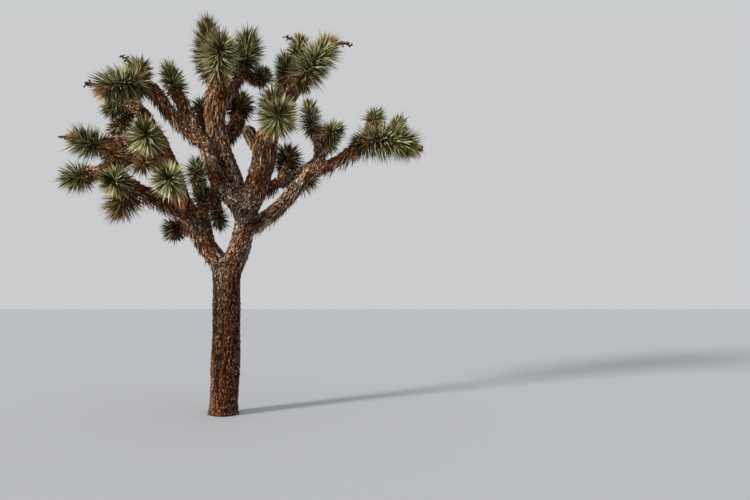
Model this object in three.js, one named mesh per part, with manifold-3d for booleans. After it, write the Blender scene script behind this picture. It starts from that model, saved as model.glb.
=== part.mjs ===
// Joshua tree: the whole plant, from a flat cut at ground level to its highest leaves.
// Millimetres, +Z up, origin at the centre of the cut. +X is the tree's right and +Y its back.
// Directions are a heading round the tree (0 is +X, 90 is +Y) and a rise above level, in degrees.
import * as THREE from "three";
import Module from "manifold-3d";

const wasm = await Module();
wasm.setup();

// Clearance between neighbouring solids
const GAP = 0.32;

// Trunk
const TRUNK_LEGS = [[0, 90, 500], [0, 89, 900], [180, 89, 930]];
const FORK_HEIGHT = TRUNK_LEGS.reduce((sum, [, , run]) => sum + run, 0);
const FOOT_RADIUS = 236;
const SHAFT_RADIUS = 216;
const WAIST_RADIUS = 203;
const WAIST_HEIGHT = 1950;
const FORK_RADIUS = 220;
const FLARE_HEIGHT = 260;
const FLARE_FADE = 3;
const TRUNK_STATIONS = [0, 0.04, 0.1, 0.25, 0.45, 0.65, 0.82, 1];
const TRUNK_SIDES = 14;

// Limbs
const RING_SPACING = 290;
const THICK_LIMB = 100;
const THICK_SIDES = 9;
const THIN_SIDES = 7;
const BARK_RIPPLE = 0.035;
const RIPPLE_WAVES = 3;
const RIPPLE_TWIST = 0.7;
const BARK_LUMP = 0.025;
const LUMP_WAVES = 2;
const LUMP_TWIST = 1.3;
const NEARLY_UPRIGHT = 0.9;

// Tuft sizes, as shares of the tuft's reach, which runs from its stem to its leaf tips
const LEAF_ROOT = 0.22;
const LEAF_WIDTH = 0.36;
const LEAF_THICKNESS = 0.26;
const LEAF_EXTENT = [0.9, 1.04];
const LEAFY_LENGTH = 0.55;
const SKIRT_LENGTH = 0.35;

// Dense heart of a tuft, in shares of its reach. The dome is pairs of way back from the eye and radius.
const CORE_RADIUS = 0.61;
const CORE_DOME = [[0, 0.14], [0.15, 0.38], [0.45, CORE_RADIUS]];
const CORE_LEAST = 0.6;
const CORE_START = 0.12;
const BRANCH_ROOT = 0.3;

// Waist of the heart as a share of its radius, and its foot as a share of the limb's radius
const CORE_WAIST = 0.9;
const STEM_SHARE = 0.94;
const CORE_SIDES = 7;

// Setting of the leaves
const LEAVES_PER_REACH = 0.0333;
const PLAIN_FULLNESS = 0.75;
const LEAFY_FULLNESS = 0.25;
const GOLDEN_ANGLE = 137.5;
const FRONT_LEAN = 12;
const BACK_LEAN = 108;
const LEAN_RISE = 0.62;
const SKIRT_START = 0.85;
const SKIRT_LEAN = 24;
const LEAN_SPREAD = 8;
const EYE_SHARE = 0.3;
const LOWEST_LEAF = 0.1;

// Faces of a blade between its left, right and under corners at the root and its tip
const BLADE_FACES = [[0, 1, 2], [0, 3, 1], [1, 3, 2], [2, 3, 0]];

// Room that leaves need
const ROOM_TESTS = [0.5, 0.65, 0.8, 0.92, 1];
const ROOM_WIDTH = 1.3;
const ROOM_LEAST = 4;
const LEAF_SHARES = [1, 0.8];
const SAMPLE_SPACING = 45;

// Repeatable random numbers
const RANDOM_FACTOR = 16807;
const RANDOM_SPAN = 2147483647;
const FIRST_SEED = 1000;
const SEED_STEP = 77;

// Old flower stalks
const STALK_RADIUS = 17;
const STALK_TIP_RADIUS = 8;
const STALK_SUNK = 0.25;
const STALK_SIDES = 5;

// Each limb starts on its parent's centre line, at a share of the parent's length.
// Its legs of heading, rise and run are the control lines that its centre line follows.
const LIMBS = [
  { name: "left_bough", on: "trunk", at: 0.93, radii: [144, 124], legs: [[-171, 52, 660], [-160, 60, 530]] },
  { name: "middle_bough", on: "trunk", at: 0.93, radii: [176, 150], legs: [[0, 57, 560], [180, 85, 574]] },
  { name: "right_arm", on: "middle_bough", at: 0.68, radii: [130, 98], legs: [[6, 19, 548], [-7, 58, 930]] },
  {
    name: "right_arm_outer", on: "right_arm", at: 0.96, radii: [94, 86],
    legs: [[-8, 9, 500], [-14, 43, 440]],
  },
  { name: "right_spur", on: "right_arm_outer", at: 0.22, radii: [100, 84], legs: [[95, 86, 410]] },
  {
    name: "tall_bough", on: "middle_bough", at: 0.93, radii: [182, 168],
    legs: [[0, 66, 730], [-78, 45, 580]],
  },
  { name: "broken_stub", on: "tall_bough", at: 0.72, radii: [112, 110], legs: [[179, 57, 450]] },
  {
    name: "upper_right_bough", on: "tall_bough", at: 0.74, radii: [115, 98],
    legs: [[87, 49, 690], [32, 62, 740]],
  },
  { name: "upper_right_rear", on: "upper_right_bough", at: 0.7, radii: [82, 72], legs: [[82, 62, 740]] },
  { name: "rear_right_bough", on: "tall_bough", at: 0.2, radii: [90, 78], legs: [[52, 29, 670]] },
  {
    name: "front_strand", on: "middle_bough", at: 0.95, radii: [138, 102],
    legs: [[-171, 38, 680], [165, 83, 650]],
  },
  {
    name: "crown_leader", on: "middle_bough", at: 0.96, radii: [118, 160],
    legs: [[134, 62, 730], [-163, 55, 780], [-54, 52, 680]],
  },
  {
    name: "crown_right", on: "crown_leader", at: 0.8, radii: [84, 74],
    legs: [[66, 53, 540], [23, 65, 470]],
  },
  {
    name: "crown_rear", on: "crown_leader", at: 0.6, radii: [104, 120],
    legs: [[71, 22, 290], [77, 52, 450]],
  },
  { name: "inner_left", on: "front_strand", at: 0.9, radii: [64, 58], legs: [[120, 46, 690]] },
  {
    name: "upper_left_bough", on: "front_strand", at: 0.96, radii: [106, 92],
    legs: [[-176, 31, 550], [-173, 58, 720]],
  },
  {
    name: "upper_left_spur", on: "upper_left_bough", at: 0.15, radii: [90, 94],
    legs: [[151, 67, 490], [169, 52, 360]],
  },
  {
    name: "left_riser", on: "left_bough", at: 0.96, radii: [122, 106],
    legs: [[-121, 72, 523], [-165, 63, 610]],
  },
  { name: "riser_top", on: "left_riser", at: 0.93, radii: [90, 78], legs: [[149, 55, 470], [138, 42, 410]] },
  {
    name: "left_front_spur", on: "left_riser", at: 0.55, radii: [104, 120],
    legs: [[-128, 33, 340], [-96, 19, 220]],
  },
  {
    name: "left_reach", on: "left_riser", at: 0.96, radii: [104, 98],
    legs: [[173, 18, 370], [180, -12, 500]],
  },
  {
    name: "lower_reach", on: "left_reach", at: 0.3, radii: [104, 92],
    legs: [[165, -42, 430], [176, -18, 480]],
  },
  {
    name: "left_outer", on: "left_bough", at: 0.93, radii: [104, 86],
    legs: [[-161, 20, 326], [-163, 31, 410]],
  },
  { name: "low_front_spur", on: "left_riser", at: 0.12, radii: [82, 76], legs: [[-86, 15, 490]] },
  {
    name: "drooping_limb", on: "front_strand", at: 0.45, radii: [105, 94],
    legs: [[122, -11, 310], [88, -69, 210]],
  },
  {
    name: "left_rear_bough", on: "left_bough", at: 0.3, radii: [94, 82],
    legs: [[119, 40, 580], [116, 50, 460]],
  },
  { name: "low_left_spur", on: "left_bough", at: 0.75, radii: [74, 66], legs: [[125, 6, 500]] },
  {
    name: "rear_crown_limb", on: "crown_leader", at: 0.35, radii: [88, 74],
    legs: [[123, 40, 1040], [107, 64, 830]],
  },
  {
    name: "rear_right_limb", on: "upper_right_bough", at: 0.35, radii: [84, 72],
    legs: [[95, 36, 890], [89, 51, 570]],
  },
  {
    name: "rear_left_limb", on: "riser_top", at: 0.5, radii: [76, 68],
    legs: [[125, 31, 970], [122, 34, 570]],
  },
  {
    name: "rear_low_limb", on: "left_rear_bough", at: 0.6, radii: [80, 70],
    legs: [[131, 35, 830], [133, 41, 640]],
  },
  {
    name: "rear_arm", on: "rear_right_bough", at: 0.9, radii: [76, 68],
    legs: [[48, 25, 740], [53, 47, 460]],
  },
];

// Each mass grows on from one limb's tip. Its first stem starts there, and the others branch from
// the first at a share of its length. A stem ends at the eye of its tuft.
const MASSES = [
  {
    name: "tufts_right_spur", on: "right_spur",
    stems: [
      { legs: [[180, 54, 220], [179, 83, 380]], reach: 250, leafy: 280 },
      { at: 0.25, legs: [[-24, 14, 345]], reach: 238 },
    ],
  },
  {
    name: "tuft_upper_right", on: "upper_right_bough",
    stems: [
      {
        legs: [[-10, 60, 470], [-13, 46, 540]], reach: 390, leafy: 680,
        stalk: [[-10, 33, 360], [0, -38, 210]],
      },
    ],
  },
  {
    name: "tufts_upper_rear", on: "upper_right_rear",
    stems: [
      { legs: [[120, 80, 410]], reach: 280, leafy: 260 },
      {
        at: 0.35, legs: [[37, 56, 350], [-2, 84, 400]], reach: 250, leafy: 320,
        stalk: [[170, 42, 190], [180, 20, 110]],
      },
    ],
  },
  {
    name: "tuft_centre_front", on: "tall_bough",
    stems: [
      { legs: [[-58, 22, 300], [-62, 17, 290]], reach: 355 },
      { at: 0.4, legs: [[100, 80, 450]], reach: 290 },
    ],
  },
  {
    name: "tufts_rear_right", on: "rear_right_bough",
    stems: [
      { legs: [[52, 8, 280], [57, 26, 390]], reach: 335 },
      { at: 0.05, legs: [[75, 58, 300], [92, 46, 390]], reach: 300 },
    ],
  },
  {
    name: "tufts_crown_front", on: "crown_leader",
    stems: [
      { legs: [[-79, 77, 500], [-71, 4, 320]], reach: 370, leafy: 480 },
      { at: 0.15, legs: [[144, 50, 430], [108, 84, 640]], reach: 315, leafy: 780 },
    ],
  },
  {
    name: "tufts_crown_right", on: "crown_right",
    stems: [
      { legs: [[10, 80, 510]], reach: 360, leafy: 420 },
      { at: 0.15, legs: [[60, -30, 360], [57, 52, 300]], reach: 250 },
    ],
  },
  { name: "tuft_crown_rear", on: "crown_rear", stems: [{ legs: [[93, 59, 490]], reach: 330 }] },
  { name: "tuft_inner_left", on: "inner_left", stems: [{ legs: [[102, 60, 510]], reach: 245 }] },
  {
    name: "tuft_upper_left_spur", on: "upper_left_spur",
    stems: [{ legs: [[180, 71, 440]], reach: 265, leafy: 380 }],
  },
  {
    name: "tufts_upper_left", on: "upper_left_bough",
    stems: [
      {
        legs: [[-146, 18, 350], [-133, -36, 450]], reach: 362, leafy: 500,
        stalk: [[-175, 4, 290], [176, 0, 120]],
      },
      {
        at: 0.15, legs: [[138, 38, 240], [143, 67, 260]], reach: 260,
        stalk: [[178, 46, 210], [180, 30, 170]],
      },
    ],
  },
  {
    name: "tufts_left_rear_crown", on: "riser_top",
    stems: [
      { legs: [[158, 37, 400], [-179, -32, 260]], reach: 265 },
      { at: 0.35, legs: [[119, -25, 290], [155, -28, 320]], reach: 235 },
    ],
  },
  {
    name: "tuft_left_front", on: "left_front_spur",
    stems: [
      { legs: [[-85, 26, 350]], reach: 315 },
      { legs: [[-115, -58, 310]], reach: 210 },
    ],
  },
  {
    name: "tuft_left_reach", on: "left_reach",
    stems: [
      {
        legs: [[-159, -14, 230], [-139, 25, 180]], reach: 335, leafy: 330,
        stalk: [[168, 24, 250], [175, 4, 200]],
      },
      { at: 0.02, legs: [[-25, -48, 270]], reach: 250 },
    ],
  },
  { name: "tuft_lower_reach", on: "lower_reach", stems: [{ legs: [[176, -12, 410]], reach: 305 }] },
  {
    name: "tufts_left_outer", on: "left_outer",
    stems: [
      { legs: [[-136, 22, 310], [-93, -13, 280]], reach: 285 },
      { at: 0.2, legs: [[136, -22, 190], [163, -52, 230]], reach: 335, leafy: 260 },
    ],
  },
  { name: "tuft_low_front", on: "low_front_spur", stems: [{ legs: [[-86, 11, 420]], reach: 300 }] },
  { name: "tuft_drooping", on: "drooping_limb", stems: [{ legs: [[89, -53, 330]], reach: 235 }] },
  {
    name: "tufts_left_rear", on: "left_rear_bough",
    stems: [
      { legs: [[105, 53, 490]], reach: 265, leafy: 240 },
      { at: 0.35, legs: [[130, 52, 390], [124, 77, 440]], reach: 268, leafy: 200 },
    ],
  },
  { name: "tuft_low_left", on: "low_left_spur", stems: [{ legs: [[129, -6, 410]], reach: 262 }] },
  {
    name: "tufts_right_arm", on: "right_arm_outer",
    stems: [
      {
        legs: [[-10, 24, 480], [7, -29, 430]], reach: 370, leafy: 780,
        stalk: [[0, -8, 200], [0, -45, 110]],
      },
      { at: 0.12, legs: [[63, 49, 380], [35, 70, 230]], reach: 228 },
      { at: 0.5, legs: [[30, 40, 270], [46, 58, 120]], reach: 220 },
    ],
  },
  { name: "tuft_rear_crown", on: "rear_crown_limb", stems: [{ legs: [[102, 64, 840]], reach: 320 }] },
  { name: "tuft_rear_right", on: "rear_right_limb", stems: [{ legs: [[76, 55, 620]], reach: 310 }] },
  { name: "tuft_rear_left", on: "rear_left_limb", stems: [{ legs: [[127, 36, 620]], reach: 310 }] },
  { name: "tuft_rear_low", on: "rear_low_limb", stems: [{ legs: [[136, 40, 690]], reach: 310 }] },
  { name: "tuft_rear_arm", on: "rear_arm", stems: [{ legs: [[64, 56, 500]], reach: 300 }] },
];

// Repeatable random numbers from 0 to 1
function randomFrom(seed) {
  let state = seed;
  return () => {
    state = (state * RANDOM_FACTOR) % RANDOM_SPAN;
    return state / RANDOM_SPAN;
  };
}

function direction(heading, rise) {
  const turn = THREE.MathUtils.degToRad(heading);
  const climb = THREE.MathUtils.degToRad(rise);
  const level = Math.cos(climb);
  return new THREE.Vector3(level * Math.cos(turn), level * Math.sin(turn), Math.sin(climb));
}

// Centre line that starts at a point and follows one to three control legs
function centreLine(start, legs) {
  const points = [start];
  for (const [heading, rise, run] of legs) {
    points.push(points.at(-1).clone().addScaledVector(direction(heading, rise), run));
  }
  if (points.length === 2) return new THREE.LineCurve3(...points);
  if (points.length === 3) return new THREE.QuadraticBezierCurve3(...points);
  return new THREE.CubicBezierCurve3(...points);
}

// Unit vector square to another one
function squareTo(axis) {
  const guide = Math.abs(axis.z) < NEARLY_UPRIGHT ? new THREE.Vector3(0, 0, 1) : new THREE.Vector3(1, 0, 0);
  return guide.cross(axis).normalize();
}

function solidFrom(points, triangles) {
  const vertProperties = new Float32Array(points.flatMap((point) => [point.x, point.y, point.z]));
  const triVerts = new Uint32Array(triangles.flat());
  return new wasm.Manifold(new wasm.Mesh({ numProp: 3, vertProperties, triVerts }));
}

// Closed tube of rings round a centre line. Each station has a share t of the line and a radius.
function tubeSolid(curve, stations, sides, swell = 0, shapeAt = () => 1) {
  const points = [];
  const triangles = [];
  let normal = squareTo(curve.getTangent(0));
  stations.forEach(({ t, radius }, ring) => {
    const tangent = curve.getTangent(t);
    normal = normal.addScaledVector(tangent, -normal.dot(tangent)).normalize();
    const binormal = new THREE.Vector3().crossVectors(tangent, normal);
    const centre = curve.getPoint(t);
    if (ring === 0) centre.addScaledVector(tangent, -swell);
    if (ring === stations.length - 1) centre.addScaledVector(tangent, swell);
    for (let side = 0; side < sides; side += 1) {
      const angle = (2 * Math.PI * side) / sides;
      const size = radius * shapeAt(angle, ring) + swell;
      const spoke = normal.clone().multiplyScalar(size * Math.cos(angle));
      points.push(spoke.addScaledVector(binormal, size * Math.sin(angle)).add(centre));
    }
  });
  for (let ring = 0; ring + 1 < stations.length; ring += 1) {
    for (let side = 0; side < sides; side += 1) {
      const here = ring * sides + side;
      const beside = ring * sides + ((side + 1) % sides);
      triangles.push([here, beside, beside + sides], [here, beside + sides, here + sides]);
    }
  }
  const last = (stations.length - 1) * sides;
  for (let side = 1; side + 1 < sides; side += 1) {
    triangles.push([0, side + 1, side], [last, last + side, last + side + 1]);
  }
  return solidFrom(points, triangles);
}

// Radius up the trunk: flare at the foot, long shaft to the waist, then the spread of the fork
function trunkRadius(height) {
  const flare = (FOOT_RADIUS - SHAFT_RADIUS) * Math.exp((-FLARE_FADE * height) / FLARE_HEIGHT);
  if (height < WAIST_HEIGHT) {
    return SHAFT_RADIUS + flare + ((WAIST_RADIUS - SHAFT_RADIUS) * height) / WAIST_HEIGHT;
  }
  const spread = (height - WAIST_HEIGHT) / (FORK_HEIGHT - WAIST_HEIGHT);
  return WAIST_RADIUS + (FORK_RADIUS - WAIST_RADIUS) * spread;
}

// Bark section that is never quite round, with its own shape for each seed
function barkShape(seed) {
  return (angle, ring) =>
    1 +
    BARK_RIPPLE * Math.sin(RIPPLE_WAVES * angle + seed + RIPPLE_TWIST * ring) +
    BARK_LUMP * Math.sin(LUMP_WAVES * (angle - seed) + LUMP_TWIST * ring);
}

function trunkLimb() {
  const curve = centreLine(new THREE.Vector3(0, 0, 0), TRUNK_LEGS);
  const stations = TRUNK_STATIONS.map((t) => ({ t, radius: trunkRadius(curve.getPoint(t).z) }));
  return { name: "trunk", curve, stations, sides: TRUNK_SIDES, seed: 0, radii: [FOOT_RADIUS, FORK_RADIUS] };
}

function grownLimb({ name, on, at, radii, legs }, seed) {
  const curve = centreLine(limbs.get(on).curve.getPoint(at), legs);
  const rings = Math.max(2, Math.round(curve.getLength() / RING_SPACING));
  const stations = [];
  for (let ring = 0; ring <= rings; ring += 1) {
    const t = ring / rings;
    stations.push({ t, radius: THREE.MathUtils.lerp(radii[0], radii[1], t) });
  }
  const sides = radii[0] > THICK_LIMB ? THICK_SIDES : THIN_SIDES;
  return { name, curve, stations, sides, seed, radii };
}

function limbSolid(limb, swell = 0) {
  return tubeSolid(limb.curve, limb.stations, limb.sides, swell, barkShape(limb.seed));
}

// Largest single body of a solid that cutting may have left in pieces
function mainBody(solid) {
  return solid.decompose().reduce((best, body) => (body.volume() > best.volume() ? body : best));
}

function boxesMeet(one, other) {
  const a = one.boundingBox();
  const b = other.boundingBox();
  return [0, 1, 2].every((axis) => a.min[axis] <= b.max[axis] && b.min[axis] <= a.max[axis]);
}

// Takes the swollen neighbours away from a solid, which leaves the clearance between them
function cutClear(solid, swollenNeighbours) {
  let rest = solid;
  for (const neighbour of swollenNeighbours) {
    if (boxesMeet(rest, neighbour)) rest = rest.subtract(neighbour);
  }
  return mainBody(rest);
}

// Points along a line with the limb's radius there, for measuring room
function samplesAlong(curve, radii) {
  const count = Math.ceil(curve.getLength() / SAMPLE_SPACING);
  const samples = [];
  for (let step = 0; step <= count; step += 1) {
    const t = step / count;
    samples.push({ point: curve.getPoint(t), radius: THREE.MathUtils.lerp(radii[0], radii[1], t) });
  }
  return samples;
}

function distanceTo(point, samples) {
  return samples.reduce((least, sample) => Math.min(least, sample.point.distanceTo(point)), Infinity);
}

function limbClearance(point) {
  let least = Infinity;
  for (const limb of limbs.values()) {
    for (const sample of limb.samples) {
      least = Math.min(least, sample.point.distanceTo(point) - sample.radius);
    }
  }
  return least;
}

// Stems of a mass as centre lines, with the sizes of the tuft at each end
function stemsOf(mass) {
  const stems = [];
  const limb = limbs.get(mass.on);
  for (const { at, legs, reach, leafy = LEAFY_LENGTH * reach, stalk } of mass.stems) {
    const start = at === undefined ? limb.curve.getPoint(1) : stems[0].curve.getPoint(at);
    const rootRadius = at === undefined ? STEM_SHARE * limb.radii[1] : BRANCH_ROOT * reach;
    stems.push({ curve: centreLine(start, legs), reach, leafy, stalk, rootRadius });
  }
  return stems;
}

// Dense heart of a tuft: its stem with the packed leaf bases, closed by a blunt dome at the eye
function coreSolid({ curve, reach, leafy, rootRadius }) {
  const length = curve.getLength();
  const fromEye = CORE_DOME.map(([back, size]) => [back * reach, size]);
  fromEye.push([Math.max(leafy, CORE_LEAST * reach), CORE_RADIUS]);
  fromEye.push([leafy + SKIRT_LENGTH * reach, CORE_WAIST * CORE_RADIUS]);
  const inside = fromEye.filter(([back]) => back < length - CORE_START * reach).reverse();
  const stations = [{ t: 0, radius: rootRadius }];
  for (const [back, size] of inside) stations.push({ t: 1 - back / length, radius: size * reach });
  return tubeSolid(curve, stations, CORE_SIDES);
}

// Three-sided blade that tapers from its sunk root to its tip
function leafSolid(root, tip, across, width, thickness) {
  const along = tip.clone().sub(root).normalize();
  const keel = new THREE.Vector3().crossVectors(across, along).normalize();
  const left = root.clone().addScaledVector(across, -width / 2);
  const right = root.clone().addScaledVector(across, width / 2);
  const under = root.clone().addScaledVector(keel, thickness);
  return solidFrom([left, right, under, tip], BLADE_FACES);
}

// Whether a leaf from its stem to its tip keeps to its own mass's space and clear of every limb
function hasRoom(base, tip, halfWidth, space, otherSpaces) {
  return ROOM_TESTS.every((share) => {
    const point = base.clone().lerp(tip, share);
    const margin = ROOM_WIDTH * halfWidth * (1 - share) + ROOM_LEAST;
    if (limbClearance(point) < margin) return false;
    const own = distanceTo(point, space);
    return otherSpaces.every((other) => distanceTo(point, other) - own > 2 * margin);
  });
}

// Leaves of one tuft, set on a golden spiral from its eye back to its skirt
function leavesOf({ curve, reach, leafy }, space, otherSpaces, random) {
  const length = curve.getLength();
  const fullness = PLAIN_FULLNESS + LEAFY_FULLNESS * (leafy / (LEAFY_LENGTH * reach));
  const count = Math.round(LEAVES_PER_REACH * reach * fullness);
  const width = LEAF_WIDTH * reach;
  const leaves = [];
  let normal = squareTo(curve.getTangent(1));
  for (let index = 0; index < count; index += 1) {
    const share = (index + 0.5) / count;
    const t = Math.max(LOWEST_LEAF, 1 - (leafy * share) / length);
    const axis = curve.getTangent(t);
    normal = normal.addScaledVector(axis, -normal.dot(axis)).normalize();
    const spoke = normal.clone().applyAxisAngle(axis, THREE.MathUtils.degToRad(GOLDEN_ANGLE * index));
    const across = new THREE.Vector3().crossVectors(axis, spoke);
    const skirt = share > SKIRT_START ? SKIRT_LEAN : 0;
    const spread = LEAN_SPREAD * (random() - 0.5);
    const lean = THREE.MathUtils.lerp(FRONT_LEAN, BACK_LEAN, share ** LEAN_RISE) + skirt + spread;
    const heading = axis.clone().applyAxisAngle(across, THREE.MathUtils.degToRad(lean));
    const base = curve.getPoint(t);
    const extent = reach * THREE.MathUtils.lerp(...LEAF_EXTENT, random());
    const sunk = LEAF_ROOT * Math.min(1, share / EYE_SHARE);
    for (const shorter of LEAF_SHARES) {
      const tip = base.clone().addScaledVector(heading, extent * shorter);
      if (hasRoom(base, tip, width / 2, space, otherSpaces)) {
        leaves.push(leafSolid(base.clone().lerp(tip, sunk), tip, across, width, LEAF_THICKNESS * reach));
        break;
      }
    }
  }
  return leaves;
}

// Bare stalk of an old flower, growing on from the eye of its tuft
function stalkSolid({ curve, reach, stalk }) {
  const start = curve.getPoint(Math.max(0, 1 - (STALK_SUNK * reach) / curve.getLength()));
  const line = centreLine(start, stalk);
  const stations = [0, 0.5, 1].map((t) => {
    return { t, radius: THREE.MathUtils.lerp(STALK_RADIUS, STALK_TIP_RADIUS, t) };
  });
  return tubeSolid(line, stations, STALK_SIDES);
}

function massSolid(mass, seed) {
  const random = randomFrom(seed);
  const otherSpaces = MASSES.filter((other) => other !== mass).map((other) => spaces.get(other.name));
  const pieces = [];
  for (const stem of mass.grown) {
    pieces.push(coreSolid(stem));
    pieces.push(...leavesOf(stem, spaces.get(mass.name), otherSpaces, random));
    if (stem.stalk) pieces.push(stalkSolid(stem));
  }
  return wasm.Manifold.union(pieces);
}

function meshOf(name, solid, material) {
  const { vertProperties, triVerts } = solid.getMesh();
  const geometry = new THREE.BufferGeometry();
  geometry.setAttribute("position", new THREE.BufferAttribute(new Float32Array(vertProperties), 3));
  geometry.setIndex(new THREE.BufferAttribute(new Uint32Array(triVerts), 1));
  geometry.computeVertexNormals();
  const mesh = new THREE.Mesh(geometry, material);
  mesh.name = name;
  return mesh;
}

function barkMaterial() {
  return new THREE.MeshStandardMaterial({ color: 0x6d5340, roughness: 0.95, metalness: 0 });
}

function thatchMaterial() {
  return new THREE.MeshStandardMaterial({ color: 0x7a6248, roughness: 0.95, metalness: 0 });
}

function leafMaterial() {
  return new THREE.MeshStandardMaterial({ color: 0x59663a, roughness: 0.7, metalness: 0 });
}

// Limbs first, in the order in which they grow
const limbs = new Map([["trunk", trunkLimb()]]);
LIMBS.forEach((plan, index) => limbs.set(plan.name, grownLimb(plan, index + 1)));
for (const limb of limbs.values()) limb.samples = samplesAlong(limb.curve, limb.radii);

// Space of each mass: the points nearer to its stems than to any other mass's
const spaces = new Map();
for (const mass of MASSES) {
  mass.grown = stemsOf(mass);
  spaces.set(mass.name, mass.grown.flatMap((stem) => samplesAlong(stem.curve, [0, 0])));
}

const tree = new THREE.Group();
const swollenLimbs = [];
for (const limb of limbs.values()) {
  const material = limb.name === "trunk" ? barkMaterial() : thatchMaterial();
  tree.add(meshOf(limb.name, cutClear(limbSolid(limb), swollenLimbs), material));
  swollenLimbs.push(limbSolid(limb, GAP));
}
MASSES.forEach((mass, index) => {
  const solid = cutClear(massSolid(mass, FIRST_SEED + SEED_STEP * index), swollenLimbs);
  tree.add(meshOf(mass.name, solid, leafMaterial()));
});

export default tree;
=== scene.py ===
# Joshua tree: furrowed bark, dead thatch, live tufts and old flower stalks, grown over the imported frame.
# Metres, +Z up, origin at the centre of the trunk's cut. +X is the tree's right and +Y its back.
# Directions are a heading round the tree (0 is +X, 90 is +Y) and a rise above level, in degrees.
import math
from types import SimpleNamespace

import bpy
import numpy as np
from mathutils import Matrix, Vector


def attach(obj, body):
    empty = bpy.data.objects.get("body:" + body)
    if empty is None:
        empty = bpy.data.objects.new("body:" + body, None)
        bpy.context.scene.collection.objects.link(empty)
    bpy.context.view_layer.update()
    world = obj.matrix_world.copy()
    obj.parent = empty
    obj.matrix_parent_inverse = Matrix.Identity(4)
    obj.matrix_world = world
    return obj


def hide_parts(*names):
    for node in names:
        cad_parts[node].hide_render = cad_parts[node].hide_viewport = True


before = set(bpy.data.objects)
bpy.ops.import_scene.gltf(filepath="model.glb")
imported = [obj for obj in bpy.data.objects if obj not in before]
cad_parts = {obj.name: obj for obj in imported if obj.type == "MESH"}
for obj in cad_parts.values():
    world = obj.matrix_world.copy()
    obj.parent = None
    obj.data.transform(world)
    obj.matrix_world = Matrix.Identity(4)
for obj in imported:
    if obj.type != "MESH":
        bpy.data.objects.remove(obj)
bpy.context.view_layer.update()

# Trunk
FORK_HEIGHT = 2.33
FOOT_RADIUS = 0.236
SHAFT_RADIUS = 0.216
WAIST_RADIUS = 0.203
WAIST_HEIGHT = 1.95
FORK_RADIUS = 0.22
FLARE_HEIGHT = 0.26
FLARE_FADE = 3
LOWER_LEGS = [(0, 90, 0.5), (0, 89, 0.9)]
TRUNK_LEGS = [*LOWER_LEGS, (180, 89, FORK_HEIGHT - sum(run for _, _, run in LOWER_LEGS))]

# Limbs, with bark that is younger nearer the tufts. A limb end without tufts counts as far from them.
YOUTH_LENGTH = 0.8
DEAD_END = 2.4
LINE_STATIONS = 33
NEARLY_UPRIGHT = 0.9
THICK_LIMB = 0.1
RING_SPACING = 0.29
LEAST_RINGS = 2
BARK_RIPPLE = 0.035
RIPPLE_WAVES = 3
RIPPLE_TWIST = 0.7
BARK_LUMP = 0.025
LUMP_WAVES = 2
LUMP_TWIST = 1.3

# Tufts, whose reach runs from their stem to their leaf tips
STEM_SHARE = 0.94
BRANCH_ROOT = 0.3
GOLDEN_ANGLE = 137.5
LEAFY_LENGTH = 0.55
FRONT_LEAN = 12
BACK_LEAN = 108
SKIRT_LEAN = 24
LEAN_RISE = 0.62
ROOM_TESTS = np.array([0.5, 0.65, 0.8, 0.92, 1])
SAMPLE_SPACING = 0.045

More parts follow.
